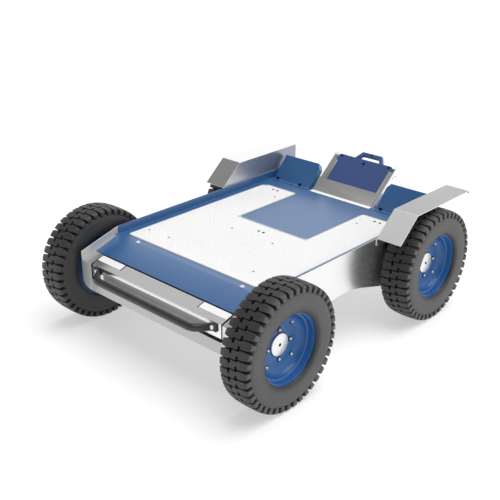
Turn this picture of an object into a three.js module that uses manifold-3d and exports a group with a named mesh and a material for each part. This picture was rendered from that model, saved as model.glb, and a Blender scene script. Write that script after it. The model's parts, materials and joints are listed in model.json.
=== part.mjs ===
// Four-wheel outdoor transport robot: a low sheet-metal load platform on four driven pneumatic wheels,
// with a pull-out tray in its nose and a battery that slides into an inclined dock at its tail.
// Millimetres. X runs across the machine, Y from nose (-) to tail (+), Z up from the ground.

import * as THREE from 'three';
import { mergeVertices } from 'three/addons/utils/BufferGeometryUtils.js';
import Module from 'manifold-3d';

const wasm = await Module();
wasm.setup();

// ---------------------------------------------------------------- driving dimensions

const GAP = 0.3;                 // clearance between neighbouring pieces
const SHEET = 3;                 // chassis sheet thickness
const THIN = 2;                  // cover and fender sheet thickness

const WHEEL_R = 200;             // over the tread
const TYRE_HALF = 53.7;          // half the tyre's section width
const WHEEL_MID_X = 429.2;       // wheel mid-plane
const AXLE_Y = [-447, 325];      // front and rear axle
const ARCH_MID_Y = (AXLE_Y[0] + AXLE_Y[1]) / 2;
const RIM_LIP_R = 113.3;         // opening of the rim
const RIM_HALF = 38.8;           // half the rim's width
const DISC_FACE = -3.5;          // front of the wheel disc, from the wheel's mid-plane
const DISC_BACK = DISC_FACE - 4;
const DISC_R = 97.9;
const BOLT_CIRCLE_R = 77;        // four holes in the wheel disc
const HUB_CAP_R = 35.5;
const BORE_R = 12.5;             // running bore for the axle
const AXLE_R = 12;
const ROUND = 28;                // facets of a wheel, a multiple of 4 so that one corner stands on the ground

const HALF_W = 359.1;            // outer faces of the side plates
const INNER_W = HALF_W - SHEET - GAP;
const NOSE_Y = -561;             // front face
const TAIL_Y = 544;              // rear face
const DECK_Z = 310;              // top of the blue deck tray
const WALL_Z = 338.4;            // top of the deck's side walls
const LOBE_Z = 128;              // lowest edge of the side plates, at the axles
const BEAM_Z = 162;              // bottom of the front frame

const RAMP_TOP_Y = -416;         // bend from deck to ramp
const RAMP_END_Y = -508;
const RAMP_RISE = 0.315;         // slope of the nose
const LEDGE_DROP = 2.3;          // ledge and drawer flange lie this far under the ramp's face
const RAMP_HALF = 346;
const WALL_NOSE_Y = NOSE_Y + 159;          // front end of the deck's side walls
const LEDGE_END_Y = RAMP_TOP_Y - 2 * GAP;
const MOUTH_HALF = 309;          // half width of the drawer's mouth
const MOUTH_Z = 203;             // bottom of the mouth
const MOUTH_CORNER = 12;         // corner radii of the mouth and of the front face
const FACE_CORNER = 40;
const SILL_DEPTH = 28;           // sheet folded back under the mouth

const ARCH_FOOT = 278;           // half length of the raised belly between the wheel bays, at its foot
const ARCH_TOP = 110;            // and at its top
const BELLY_Z = 198;             // floor pan in the belly, beside the motors, at the nose and at the tail
const FLOOR_Z = 150;
const FLOOR_NOSE_Z = 165;
const FLOOR_TAIL_Z = 168;
const BEARING_HOLE_R = 26.5;
const RAIL_Z = 212;              // bottom of the cross members
const RAIL_DEPTH = 30;

const CHEEK_TAIL_Y = 616.5;      // rearmost edge, on the dock's cheek plates
const DOCK_FOOT = [386.6, 305.6];        // Y, Z where the dock's face meets the deck
const DOCK_ANGLE = 39.9 * Math.PI / 180;
const DOCK_LEN = 173;
const DOCK_HALF = 141.4;
const DOCK_DEPTH = 71;
const NOTCH_HALF = 122.5;        // opening of the dock's face plate
const NOTCH_S = 70.5;

const COVER_FOOT = [383.6, 304.9];
const COVER_ANGLE = 46.5 * Math.PI / 180;
const COVER_LEN = 121.3;
const COVER_DEPTH = 28;

const SIDES = [['left', -1], ['right', 1]];

// ---------------------------------------------------------------- materials

const paint = (color, roughness, metalness) => (
  new THREE.MeshStandardMaterial({ color, roughness, metalness })
);
const SILVER = paint(0xc9cacb, 0.32, 0.85);
const STEEL = paint(0x9b9da0, 0.4, 0.9);
const BLUE = paint(0x2f5c9e, 0.45, 0.15);
const RIM_BLUE = paint(0x1f56a8, 0.35, 0.2);
const WHITE = paint(0xf0f0ee, 0.6, 0.0);
const RUBBER = paint(0x2b2b2b, 0.85, 0.0);
const BLACK = paint(0x262729, 0.5, 0.1);
const CAP = paint(0xe2e3e4, 0.3, 0.6);
const BATTERY = paint(0x34508c, 0.5, 0.05);

// ---------------------------------------------------------------- helpers

const robot = new THREE.Group();

function addMesh(parent, name, geometry, material) {
  const mesh = new THREE.Mesh(geometry, material);
  mesh.name = name;
  parent.add(mesh);
  return mesh;
}

function toSolid(geometry) {
  const bare = geometry.clone();
  bare.deleteAttribute('normal');
  bare.deleteAttribute('uv');
  const merged = mergeVertices(bare, 1e-4);
  return new wasm.Manifold(new wasm.Mesh({
    numProp: 3,
    vertProperties: new Float32Array(merged.attributes.position.array),
    triVerts: new Uint32Array(merged.index.array),
  }));
}

function toGeometry(solid) {
  const mesh = solid.getMesh();
  const geometry = new THREE.BufferGeometry();
  geometry.setAttribute('position', new THREE.BufferAttribute(mesh.vertProperties, 3));
  geometry.setIndex(new THREE.BufferAttribute(mesh.triVerts, 1));
  geometry.computeVertexNormals();
  return geometry;
}

const join = (...pieces) => toGeometry(pieces.map(toSolid).reduce((sum, next) => sum.add(next)));
const cut = (base, ...tools) => (
  toGeometry(tools.map(toSolid).reduce((left, tool) => left.subtract(tool), toSolid(base)))
);

function box(x0, x1, y0, y1, z0, z1) {
  const geometry = new THREE.BoxGeometry(x1 - x0, y1 - y0, z1 - z0);
  return geometry.translate((x0 + x1) / 2, (y0 + y1) / 2, (z0 + z1) / 2);
}

function shapeOf(points) {
  return new THREE.Shape(points.map(([a, b]) => new THREE.Vector2(a, b)));
}

function extrude(shape, depth) {
  return new THREE.ExtrudeGeometry(shape, { depth, bevelEnabled: false, curveSegments: 8 });
}

// An outline in (Y, Z), extruded from x0 to x1.
function alongX(shape, x0, x1) {
  const turn = new THREE.Matrix4().set(0, 0, 1, x0, 1, 0, 0, 0, 0, 1, 0, 0, 0, 0, 0, 1);
  return extrude(shape, x1 - x0).applyMatrix4(turn);
}

// An outline in (X, Z), extruded from y0 to y1.
function alongY(shape, y0, y1) {
  const turn = new THREE.Matrix4().set(1, 0, 0, 0, 0, 0, -1, y1, 0, 1, 0, 0, 0, 0, 0, 1);
  return extrude(shape, y1 - y0).applyMatrix4(turn);
}

// An outline in (X, Y), extruded from z0 to z1.
const alongZ = (shape, z0, z1) => extrude(shape, z1 - z0).translate(0, 0, z0);

// A round piece about the X axis; profile points are [radius, x].
function turned(profile, segments, closed) {
  const points = profile.map(([r, x]) => new THREE.Vector2(r, x));
  if (closed) points.push(points[0].clone());
  return new THREE.LatheGeometry(points, segments).rotateZ(-Math.PI / 2);
}

function disc(radius, x0, x1, segments) {
  return turned([[0, x0], [radius, x0], [radius, x1], [0, x1]], segments, false);
}

// Places geometry made in dock axes (X across, Y up the slope, Z out of its face) on the machine.
function onSlope(geometry, foot, angle) {
  return geometry.rotateX(angle).translate(0, foot[0], foot[1]);
}

const inDock = (geometry) => onSlope(geometry, DOCK_FOOT, DOCK_ANGLE);
const dockPoint = (s, out) => [
  DOCK_FOOT[0] + s * Math.cos(DOCK_ANGLE) - out * Math.sin(DOCK_ANGLE),
  DOCK_FOOT[1] + s * Math.sin(DOCK_ANGLE) + out * Math.cos(DOCK_ANGLE),
];

// Height of the ledge and drawer flange on the sloping nose.
const ledgeZ = (y) => DECK_Z - LEDGE_DROP + RAMP_RISE * (y - RAMP_TOP_Y);

// ---------------------------------------------------------------- wheels

const TYRE_PROFILE = [
  [118.5, 35], [109.5, 34], [109.5, 24], [150, 44], [182, 38], [182, -38], [150, -44], [109.5, -24],
  [109.5, -34], [118.5, -35], [118.5, -39.6], [155, -TYRE_HALF], [182, -52], [WHEEL_R, -43],
  [WHEEL_R, 43], [182, 52], [155, TYRE_HALF], [118.5, 39.6],
];

const BARREL_PROFILE = [
  [117, -36], [108, -35], [103, -22], [103, 22], [108, 35], [117, 36], [117, RIM_HALF], [RIM_LIP_R, RIM_HALF],
  [100, 18], [DISC_R + GAP, 8], [DISC_R + GAP, -18], [RIM_LIP_R, -RIM_HALF], [117, -RIM_HALF],
];

// The disc's middle is bored for the axle's spigot.
const DISC_PROFILE = [[14, DISC_BACK], [DISC_R, DISC_BACK], [DISC_R, DISC_FACE], [14, DISC_FACE]];

const CAP_FACE = DISC_FACE + 4.7;
const CAP_HOLE_R = 3.5;
const HUB_CAP_PROFILE = [
  [HUB_CAP_R, DISC_FACE + GAP], [HUB_CAP_R, CAP_FACE - 1.2], [HUB_CAP_R - 1.2, CAP_FACE],
  [CAP_HOLE_R, CAP_FACE], [CAP_HOLE_R, CAP_FACE - 2], [30, CAP_FACE - 2], [30, DISC_FACE + GAP],
];

// A stub axle with the flange that the disc is bolted to.
const FLANGE_R = 60;
const FLANGE_FACE = DISC_BACK - GAP;
const AXLE_END = -129;
const AXLE_TIP = CAP_FACE - 2 - GAP;
const AXLE_PROFILE = [
  [0, AXLE_END], [AXLE_R, AXLE_END], [AXLE_R, FLANGE_FACE - 9], [FLANGE_R, FLANGE_FACE - 9],
  [FLANGE_R, FLANGE_FACE], [AXLE_R, FLANGE_FACE], [AXLE_R, AXLE_TIP], [0, AXLE_TIP],
];

function rimDiscGeometry() {
  const holes = [];
  for (let i = 0; i < 4; i++) {
    const angle = Math.PI / 4 + i * Math.PI / 2;
    const hole = disc(6, DISC_BACK - 1, DISC_FACE + 1, 8);
    holes.push(hole.translate(0, BOLT_CIRCLE_R * Math.cos(angle), BOLT_CIRCLE_R * Math.sin(angle)));
  }
  return cut(turned(DISC_PROFILE, ROUND, true), ...holes);
}

function addWheel(suffix, side, axleY) {
  const wheel = new THREE.Group();
  wheel.position.set(side * WHEEL_MID_X, axleY, WHEEL_R);
  if (side < 0) wheel.rotation.z = Math.PI;
  addMesh(wheel, `tyre_${suffix}`, turned(TYRE_PROFILE, ROUND, true), RUBBER);
  addMesh(wheel, `rim_${suffix}`, turned(BARREL_PROFILE, ROUND, true), RIM_BLUE);
  addMesh(wheel, `rim_disc_${suffix}`, rimDiscGeometry(), RIM_BLUE);
  addMesh(wheel, `hub_cap_${suffix}`, turned(HUB_CAP_PROFILE, 20, true), CAP);
  addMesh(wheel, `axle_${suffix}`, turned(AXLE_PROFILE, 16, false), STEEL);
  robot.add(wheel);
}

// ---------------------------------------------------------------- wheel drives

// Distances along X from the wheel's mid-plane, so a drive shares its wheel's axes.
const PLATE_OUT = HALF_W - WHEEL_MID_X;
const MOTOR_FACE = PLATE_OUT - SHEET - 11.5;

const BEARING_PROFILE = [
  [25.5, MOTOR_FACE + GAP], [25.5, PLATE_OUT + GAP], [45, PLATE_OUT + GAP], [45, PLATE_OUT + 7],
  [30, PLATE_OUT + 12], [BORE_R, PLATE_OUT + 12], [BORE_R, MOTOR_FACE + GAP],
];

const MOTOR_END = MOTOR_FACE - 190;
const GEARBOX_END = MOTOR_FACE - 90;
const MOTOR_R = 34;
const GEARBOX_R = 40;
const MOTOR_PROFILE = [
  [0, MOTOR_END], [MOTOR_R, MOTOR_END], [MOTOR_R, GEARBOX_END], [GEARBOX_R, GEARBOX_END],
  [GEARBOX_R, MOTOR_FACE], [BORE_R, MOTOR_FACE], [BORE_R, AXLE_END - 1], [0, AXLE_END - 1],
];

function addDrive(suffix, side, axleY) {
  const drive = new THREE.Group();
  drive.position.set(side * WHEEL_MID_X, axleY, WHEEL_R);
  if (side < 0) drive.rotation.z = Math.PI;
  addMesh(drive, `bearing_block_${suffix}`, turned(BEARING_PROFILE, 16, true), STEEL);
  addMesh(drive, `gear_motor_${suffix}`, turned(MOTOR_PROFILE, 16, false), BLACK);
  robot.add(drive);
}

// ---------------------------------------------------------------- chassis

function sidePlateShape() {
  const shape = new THREE.Shape();
  const innerNose = NOSE_Y + SHEET + GAP;
  const postTop = ledgeZ(NOSE_Y) + GAP;
  const [noseZ, archZ, archPeak, tailZ, lipZ] = [196, 178, 211, 190, 292];
  const top = WALL_Z - THIN;
  shape.moveTo(innerNose, noseZ);
  shape.quadraticCurveTo(innerNose + 10, LOBE_Z + 12, NOSE_Y + 50, LOBE_Z);
  shape.lineTo(ARCH_MID_Y - ARCH_FOOT, LOBE_Z);
  shape.lineTo(ARCH_MID_Y - ARCH_TOP, archZ);
  shape.quadraticCurveTo(ARCH_MID_Y, archPeak, ARCH_MID_Y + ARCH_TOP, archZ);
  shape.lineTo(ARCH_MID_Y + ARCH_FOOT, LOBE_Z);
  shape.lineTo(AXLE_Y[1] + 110, LOBE_Z);
  shape.quadraticCurveTo(TAIL_Y - 30, LOBE_Z + 10, TAIL_Y, tailZ);
  shape.lineTo(TAIL_Y, top);
  shape.lineTo(WALL_NOSE_Y, top);
  shape.lineTo(NOSE_Y, lipZ);
  shape.lineTo(NOSE_Y, postTop);
  shape.lineTo(innerNose, postTop);
  for (const y of AXLE_Y) {
    const hole = new THREE.Path();
    hole.absarc(y, WHEEL_R, BEARING_HOLE_R, 0, 2 * Math.PI, true);
    shape.holes.push(hole);
  }
  return shape;
}

function addSidePlates() {
  for (const [word, side] of SIDES) {
    const x = side * (HALF_W - SHEET / 2);
    addMesh(robot, `${word}_side_plate`, alongX(sidePlateShape(), x - SHEET / 2, x + SHEET / 2), SILVER);
  }
}

// U-shaped face with rounded corners.
function frontFaceShape() {
  const top = ledgeZ(NOSE_Y);
  const mouthEdge = MOUTH_HALF - MOUTH_CORNER;
  const faceEdge = HALF_W - FACE_CORNER;
  const shape = new THREE.Shape();
  shape.moveTo(HALF_W, top);
  shape.lineTo(MOUTH_HALF, top);
  shape.lineTo(MOUTH_HALF, MOUTH_Z + MOUTH_CORNER);
  shape.quadraticCurveTo(MOUTH_HALF, MOUTH_Z, mouthEdge, MOUTH_Z);
  shape.lineTo(-mouthEdge, MOUTH_Z);
  shape.quadraticCurveTo(-MOUTH_HALF, MOUTH_Z, -MOUTH_HALF, MOUTH_Z + MOUTH_CORNER);
  shape.lineTo(-MOUTH_HALF, top);
  shape.lineTo(-HALF_W, top);
  shape.lineTo(-HALF_W, BEAM_Z + FACE_CORNER);
  shape.quadraticCurveTo(-HALF_W, BEAM_Z, -faceEdge, BEAM_Z);
  shape.lineTo(faceEdge, BEAM_Z);
  shape.quadraticCurveTo(HALF_W, BEAM_Z, HALF_W, BEAM_Z + FACE_CORNER);
  return shape;
}

// The face, a sill under the mouth, and a ledge that runs back from the top of each post.
function addFrontFrame() {
  const top = ledgeZ(NOSE_Y);
  const ledge = shapeOf([
    [NOSE_Y, top - SHEET], [LEDGE_END_Y, ledgeZ(LEDGE_END_Y) - SHEET], [LEDGE_END_Y, ledgeZ(LEDGE_END_Y)],
    [NOSE_Y, top],
  ]);
  const sillHalf = MOUTH_HALF - MOUTH_CORNER;
  const frame = join(
    alongY(frontFaceShape(), NOSE_Y, NOSE_Y + SHEET),
    alongX(ledge, MOUTH_HALF, INNER_W),
    alongX(ledge, -INNER_W, -MOUTH_HALF),
    box(-sillHalf, sillHalf, NOSE_Y, NOSE_Y + SILL_DEPTH, MOUTH_Z - SHEET, MOUTH_Z),
  );
  addMesh(robot, 'front_frame', frame, SILVER);
}

function addRearWall() {
  const wall = box(-INNER_W, INNER_W, TAIL_Y - SHEET, TAIL_Y, FLOOR_TAIL_Z, DECK_Z - SHEET - GAP);
  addMesh(robot, 'rear_wall', wall, SILVER);
}

// Folded floor that rises between the wheel bays like the side plates' lower edge.
function addFloorPan() {
  const y0 = NOSE_Y + SHEET + GAP;
  const y1 = TAIL_Y - SHEET - GAP;
  const under = [
    [y0, FLOOR_NOSE_Z], [y0 + 58, FLOOR_NOSE_Z], [y0 + 80, FLOOR_Z], [ARCH_MID_Y - ARCH_FOOT, FLOOR_Z],
    [ARCH_MID_Y - ARCH_TOP, BELLY_Z], [ARCH_MID_Y + ARCH_TOP, BELLY_Z], [ARCH_MID_Y + ARCH_FOOT, FLOOR_Z],
    [y1 - 80, FLOOR_Z], [y1, FLOOR_TAIL_Z],
  ];
  const over = under.map(([y, z]) => [y, z + THIN]).reverse();
  addMesh(robot, 'floor_pan', alongX(shapeOf([...under, ...over]), -INNER_W, INNER_W), STEEL);
}

function addCrossMembers() {
  const rails = [['front', -340, 243], ['rear', 205, 300]];
  for (const [word, y, top] of rails) {
    const outer = box(-INNER_W, INNER_W, y, y + RAIL_DEPTH, RAIL_Z, top);
    const inner = box(-HALF_W, HALF_W, y + SHEET, y + RAIL_DEPTH - SHEET, RAIL_Z + SHEET, top - SHEET);
    addMesh(robot, `${word}_cross_member`, cut(outer, inner), STEEL);
  }
}

// One blue sheet: floor, two side walls, the ramp down the nose, and a well for the battery dock.
function addDeckTray() {
  const low = DECK_Z - SHEET;
  const floor = box(-INNER_W, INNER_W, RAMP_TOP_Y, TAIL_Y, low, DECK_Z);
  const wall = (side) => {
    const x = side * (INNER_W - SHEET / 2);
    return box(x - SHEET / 2, x + SHEET / 2, WALL_NOSE_Y, TAIL_Y, low, WALL_Z);
  };
  const drop = RAMP_RISE * (RAMP_TOP_Y - RAMP_END_Y);
  const ramp = shapeOf([
    [RAMP_END_Y, DECK_Z - drop - THIN], [RAMP_TOP_Y, DECK_Z - THIN], [RAMP_TOP_Y + 1, DECK_Z - THIN],
    [RAMP_TOP_Y + 1, DECK_Z], [RAMP_TOP_Y, DECK_Z], [RAMP_END_Y, DECK_Z - drop],
  ]);
  const [wellHalf, wellEnd] = [140, 508];
  const well = box(-wellHalf, wellHalf, DOCK_FOOT[0] - 2, wellEnd, low - 5, DECK_Z + 5);
  const sheet = join(floor, wall(-1), wall(1), alongX(ramp, -RAMP_HALF, RAMP_HALF));
  addMesh(robot, 'deck_tray', cut(sheet, well), BLUE);
}

// Ribbed white sheet on the deck, cut back in the middle of its rear edge.
function addAntiSlipSheet() {
  const [half, front, rear, corner] = [325, -386, 317, 16];
  const [cutHalf, cutFront] = [157, -5];
  const shape = new THREE.Shape();
  shape.moveTo(-half + corner, front);
  shape.lineTo(half - corner, front);
  shape.quadraticCurveTo(half, front, half, front + corner);
  shape.lineTo(half, rear - 2 * corner);
  shape.quadraticCurveTo(half, rear, half - 2 * corner, rear);
  shape.lineTo(cutHalf + corner, rear);
  shape.quadraticCurveTo(cutHalf, rear, cutHalf, rear - corner);
  shape.lineTo(cutHalf, cutFront + corner);
  shape.quadraticCurveTo(cutHalf, cutFront, cutHalf - corner, cutFront);
  shape.lineTo(-cutHalf + corner, cutFront);
  shape.quadraticCurveTo(-cutHalf, cutFront, -cutHalf, cutFront + corner);
  shape.lineTo(-cutHalf, rear - corner);
  shape.quadraticCurveTo(-cutHalf, rear, -cutHalf - corner, rear);
  shape.lineTo(-half + 2 * corner, rear);
  shape.quadraticCurveTo(-half, rear, -half, rear - 2 * corner);
  shape.lineTo(-half, front + corner);
  shape.quadraticCurveTo(-half, front, -half + corner, front);
  addMesh(robot, 'anti_slip_sheet', alongZ(shape, DECK_Z + GAP, DECK_Z + 1.8), WHITE);
}

// Folded guard over a rear wheel: steep front, level top, turned-down tail, and a wall on the side plate.
function addFenders() {
  const [y0, z0, y1, z1, y2] = [116, 337, 209.5, 417, 537];
  const [wallFoot, outerEdge, tailDrop] = [312, 454, 9];
  const wallOutline = shapeOf([[y0, wallFoot], [TAIL_Y, wallFoot], [TAIL_Y, z1], [y1, z1], [y0, z0]]);
  const guard = shapeOf([
    [y0, z0], [y0 + THIN, z0 - THIN], [y1 + 0.6, z1 - THIN], [y2 - THIN, z1 - THIN], [y2, z1 - tailDrop],
    [y2 + THIN, z1 - tailDrop + 1], [y2, z1], [y1, z1],
  ]);
  for (const [word, side] of SIDES) {
    const edges = [side * (HALF_W + GAP), side * (HALF_W + GAP + THIN), side * outerEdge];
    const [wa, wb] = [Math.min(edges[0], edges[1]), Math.max(edges[0], edges[1])];
    const [ga, gb] = [Math.min(edges[0], edges[2]), Math.max(edges[0], edges[2])];
    addMesh(robot, `${word}_fender`, join(alongX(wallOutline, wa, wb), alongX(guard, ga, gb)), SILVER);
  }
}

// ---------------------------------------------------------------- electronics

// Name, half width, Y and Z ranges, and finish.
const CASES = [
  ['control_box', 150, [-180, 60], [203, 290], BLACK],
  ['front_motor_controller', 100, [-300, -210], [203, 240], STEEL],
  ['rear_motor_controller', 90, [245, 325], [165, 225], STEEL],
];

function addElectronics() {
  for (const [name, half, y, z, finish] of CASES) addMesh(robot, name, box(-half, half, ...y, ...z), finish);
}

// ---------------------------------------------------------------- tail covers and battery dock

// Everything under the deck's surface at the tail, for trimming slanted pieces.
const underDeck = () => box(-400, 400, 300, 600, 200, DECK_Z + GAP);

// Tilted sheet box, open at its foot, one each side of the dock, with a narrow flange that lies on the deck.
function addCovers() {
  const [inner, outer] = [160, 343];
  const [foot, cornerX, cornerS] = [7.5, 12, 20];
  for (const [word, side] of SIDES) {
    const [xa, xb] = side < 0 ? [-outer, -inner] : [inner, outer];
    const [top, shoulder] = [COVER_LEN, COVER_LEN - cornerS];
    const shape = side < 0
      ? shapeOf([[xa, foot], [xb, foot], [xb, shoulder], [xb - cornerX, top], [xa, top]])
      : shapeOf([[xa, foot], [xb, foot], [xb, top], [xa + cornerX, top], [xa, shoulder]]);
    const hollow = box(xa + THIN, xb - THIN, foot - 5, shoulder - THIN, -COVER_DEPTH + THIN, -THIN);
    const slanted = onSlope(cut(alongZ(shape, -COVER_DEPTH, 0), hollow), COVER_FOOT, COVER_ANGLE);
    const flange = box(xa, xb, COVER_FOOT[0] - 6, COVER_FOOT[0] + 7, DECK_Z + GAP, DECK_Z + THIN);
    addMesh(robot, `${word}_cover`, join(cut(slanted, underDeck()), flange), BLUE);
  }
}

// U-shaped face plate of the dock, with a narrow foot that lies on the deck.
function addDockFace() {
  const s0 = 7.6;
  const shape = shapeOf([
    [-DOCK_HALF, s0], [DOCK_HALF, s0], [DOCK_HALF, DOCK_LEN], [NOTCH_HALF, DOCK_LEN],
    [NOTCH_HALF, NOTCH_S], [-NOTCH_HALF, NOTCH_S], [-NOTCH_HALF, DOCK_LEN], [-DOCK_HALF, DOCK_LEN],
  ]);
  const foot = box(-DOCK_HALF, DOCK_HALF, DOCK_FOOT[0] - 14, DOCK_FOOT[0] + 7, DECK_Z + GAP, DECK_Z + THIN);
  const plate = cut(inDock(alongZ(shape, -THIN, 0)), underDeck());
  addMesh(robot, 'dock_face_plate', join(plate, foot), STEEL);
}

// Open channel that guides the battery, with a stop at its lower end.
function addDock() {
  const [half, low, stopTop] = [DOCK_HALF - THIN, -66, -12];
  const wall = (side) => {
    const x = side * (half - THIN / 2);
    return box(x - THIN / 2, x + THIN / 2, low, DOCK_LEN, -DOCK_DEPTH, -THIN - GAP);
  };
  const back = box(-half, half, low, DOCK_LEN, -DOCK_DEPTH, -DOCK_DEPTH + THIN);
  const stop = box(-half, half, low, low + THIN, -DOCK_DEPTH, stopTop);
  addMesh(robot, 'battery_dock', inDock(join(back, stop, wall(-1), wall(1))), STEEL);
  const socket = box(-32, 32, low + THIN + GAP, -52, -52, -20);
  addMesh(robot, 'battery_socket', inDock(socket), BLACK);
}

// Upright cheek plates that carry the dock, and the plate that ties them together behind it.
function addCheeks() {
  const [top, tail, round, heel] = [434.5, CHEEK_TAIL_Y, 42, 345];
  const lip = dockPoint(DOCK_LEN, -1);
  const base = dockPoint(9, -1);
  const shape = new THREE.Shape();
  shape.moveTo(base[0], DECK_Z + GAP);
  shape.lineTo(TAIL_Y - 10, DECK_Z + GAP);
  shape.lineTo(tail, heel);
  shape.lineTo(tail, top - round);
  shape.quadraticCurveTo(tail, top, tail - round, top);
  shape.lineTo(lip[0] + 18, top);
  shape.lineTo(lip[0], lip[1]);
  for (const [word, side] of SIDES) {
    const x = side * (DOCK_HALF + GAP + SHEET / 2);
    addMesh(robot, `${word}_cheek_plate`, alongX(shape, x - SHEET / 2, x + SHEET / 2), SILVER);
  }
  const tie = box(-DOCK_HALF, DOCK_HALF, tail - 10, tail - 10 + SHEET, heel + 5, heel + 51);
  addMesh(robot, 'dock_tie_plate', tie, SILVER);
}

// ---------------------------------------------------------------- battery

function addBattery() {
  const [half, low, seam, top] = [117, -50, 168, 197];
  const [face, back] = [-4, -64];
  addMesh(robot, 'battery_case', inDock(box(-half, half, low, seam, back, face)), BATTERY);
  const [capHalf, corner] = [127, 13];
  const cap = new THREE.Shape();
  cap.moveTo(-capHalf, seam + GAP);
  cap.lineTo(capHalf, seam + GAP);
  cap.lineTo(capHalf, top - corner);
  cap.quadraticCurveTo(capHalf, top, capHalf - corner, top);
  cap.lineTo(-capHalf + corner, top);
  cap.quadraticCurveTo(-capHalf, top, -capHalf, top - corner);
  const capDepth = 22;
  addMesh(robot, 'battery_cap', inDock(alongZ(cap, face - capDepth, face)), BLUE);
  const [foot, crown, bar] = [top + GAP, 240, 18];
  const [footOut, footIn, crownOut, crownIn] = [73, 54, 46, 37];
  const grip = shapeOf([
    [-footOut, foot], [-footIn, foot], [-crownIn, crown - bar], [crownIn, crown - bar],
    [footIn, foot], [footOut, foot], [crownOut, crown], [-crownOut, crown],
  ]);
  const [gripFace, gripDepth] = [face - 16, 16];
  addMesh(robot, 'battery_handle', inDock(alongZ(grip, gripFace - gripDepth, gripFace)), BLUE);
}

// ---------------------------------------------------------------- pull-out tray

const PANEL_HALF = 302;
const PANEL_Y = NOSE_Y + 2;      // front face of the drawer
const BAR_Z = 242;
const BAR_R = 12.5;
const BAR_Y = -604;
const TAB_X = 273;
const TAB_Z = 247;
const PANEL_DEPTH = 22;
const PANEL_LOW_Z = 215;
const SLIT_X = 183;              // slits that divide the drawer's flange
const SLIT_HALF = 1.5;
const RECESS_HALF = 248;         // recess behind the pull bar
const RECESS_Z = [218, 250];
const BOLT_HOLE_R = 3.4;

// Hollow in the drawer's face behind the bar, deepest near its top.
function recessShape() {
  const shape = new THREE.Shape();
  const [low, high] = RECESS_Z;
  shape.moveTo(PANEL_Y - 1, high);
  shape.quadraticCurveTo(PANEL_Y + 22, high - 3, PANEL_Y + 17, low + 15);
  shape.quadraticCurveTo(PANEL_Y + 12, low + 4, PANEL_Y - 1, low);
  return shape;
}

function addDrawerFront() {
  const back = PANEL_Y + PANEL_DEPTH;
  const beam = box(-PANEL_HALF, PANEL_HALF, PANEL_Y, back, PANEL_LOW_Z, ledgeZ(PANEL_Y) - 1);
  const flangeEnd = RAMP_END_Y - 4;
  const flange = alongX(shapeOf([
    [PANEL_Y, ledgeZ(PANEL_Y) - THIN], [flangeEnd, ledgeZ(flangeEnd) - THIN],
    [flangeEnd, ledgeZ(flangeEnd)], [PANEL_Y, ledgeZ(PANEL_Y)],
  ]), -PANEL_HALF, PANEL_HALF);
  const slits = SIDES.map(([, side]) => {
    const x = side * SLIT_X;
    return box(x - SLIT_HALF, x + SLIT_HALF, back + 1, flangeEnd + 2, MOUTH_Z, DECK_Z);
  });
  const holes = SIDES.map(([, side]) => boltHole(side));
  const front = cut(join(beam, flange), alongX(recessShape(), -RECESS_HALF, RECESS_HALF), ...slits, ...holes);
  addMesh(robot, 'drawer_front', front, SILVER);
}

function boltHole(side) {
  return disc(BOLT_HOLE_R, -8, 22, 12).rotateZ(Math.PI / 2).translate(side * TAB_X, PANEL_Y, TAB_Z);
}

function addDrawerTray() {
  const [half, y0, y1, z0, z1] = [290, PANEL_Y + PANEL_DEPTH + GAP, -240, 246, 266];
  const hollow = box(-half + THIN, half - THIN, y0 + THIN, y1 - THIN, z0 + THIN, z1 + 1);
  const tray = cut(box(-half, half, y0, y1, z0, z1), hollow);
  addMesh(robot, 'drawer_tray', tray, STEEL);
}

// Black round bar, bent back at both ends to flat tabs on the drawer's face.
function addPullBar() {
  const [bendX, bend] = [226, 16];
  const point = (x, y) => new THREE.Vector3(x, y, BAR_Z);
  const legX = bendX + 24;
  const legY = BAR_Y + 24;
  const path = new THREE.CurvePath();
  const inner = bendX - bend;
  const outer = bendX + bend * Math.SQRT1_2;
  const bentY = BAR_Y + bend * Math.SQRT1_2;
  path.add(new THREE.LineCurve3(point(-legX, legY), point(-outer, bentY)));
  path.add(new THREE.QuadraticBezierCurve3(point(-outer, bentY), point(-bendX, BAR_Y), point(-inner, BAR_Y)));
  path.add(new THREE.LineCurve3(point(-inner, BAR_Y), point(inner, BAR_Y)));
  path.add(new THREE.QuadraticBezierCurve3(point(inner, BAR_Y), point(bendX, BAR_Y), point(outer, bentY)));
  path.add(new THREE.LineCurve3(point(outer, bentY), point(legX, legY)));
  const section = shapeOf(Array.from({ length: 12 }, (_, i) => {
    const angle = i * Math.PI / 6;
    return [BAR_R * Math.cos(angle), BAR_R * Math.sin(angle)];
  }));
  const tube = new THREE.ExtrudeGeometry(section, { steps: 24, extrudePath: path });
  const tabFace = PANEL_Y - 6;
  const tabs = SIDES.map(([, side]) => {
    const outline = [
      [legX - 7, legY + 5], [legX + 6, legY - 7], [TAB_X - 8, tabFace], [TAB_X + 14, tabFace],
      [TAB_X + 14, PANEL_Y - GAP], [TAB_X - 16, PANEL_Y - GAP],
    ].map(([x, y]) => [side * x, y]);
    if (side < 0) outline.reverse();
    return alongZ(shapeOf(outline), TAB_Z - 14, TAB_Z + 12);
  });
  const bar = cut(join(tube, ...tabs), ...SIDES.map(([, side]) => boltHole(side)));
  addMesh(robot, 'pull_bar', bar, BLACK);
}

function addPullBarBolts() {
  const [shankR, headR, tail, seat, crown] = [3, 7, -12, 6 + GAP, 11];
  const profile = [[0, tail], [shankR, tail], [shankR, seat], [headR, seat], [headR, crown], [0, crown]];
  for (const [word, side] of SIDES) {
    const bolt = turned(profile, 12, false).rotateZ(-Math.PI / 2).translate(side * TAB_X, PANEL_Y, TAB_Z);
    addMesh(robot, `pull_bar_bolt_${word}`, bolt, STEEL);
  }
}

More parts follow.
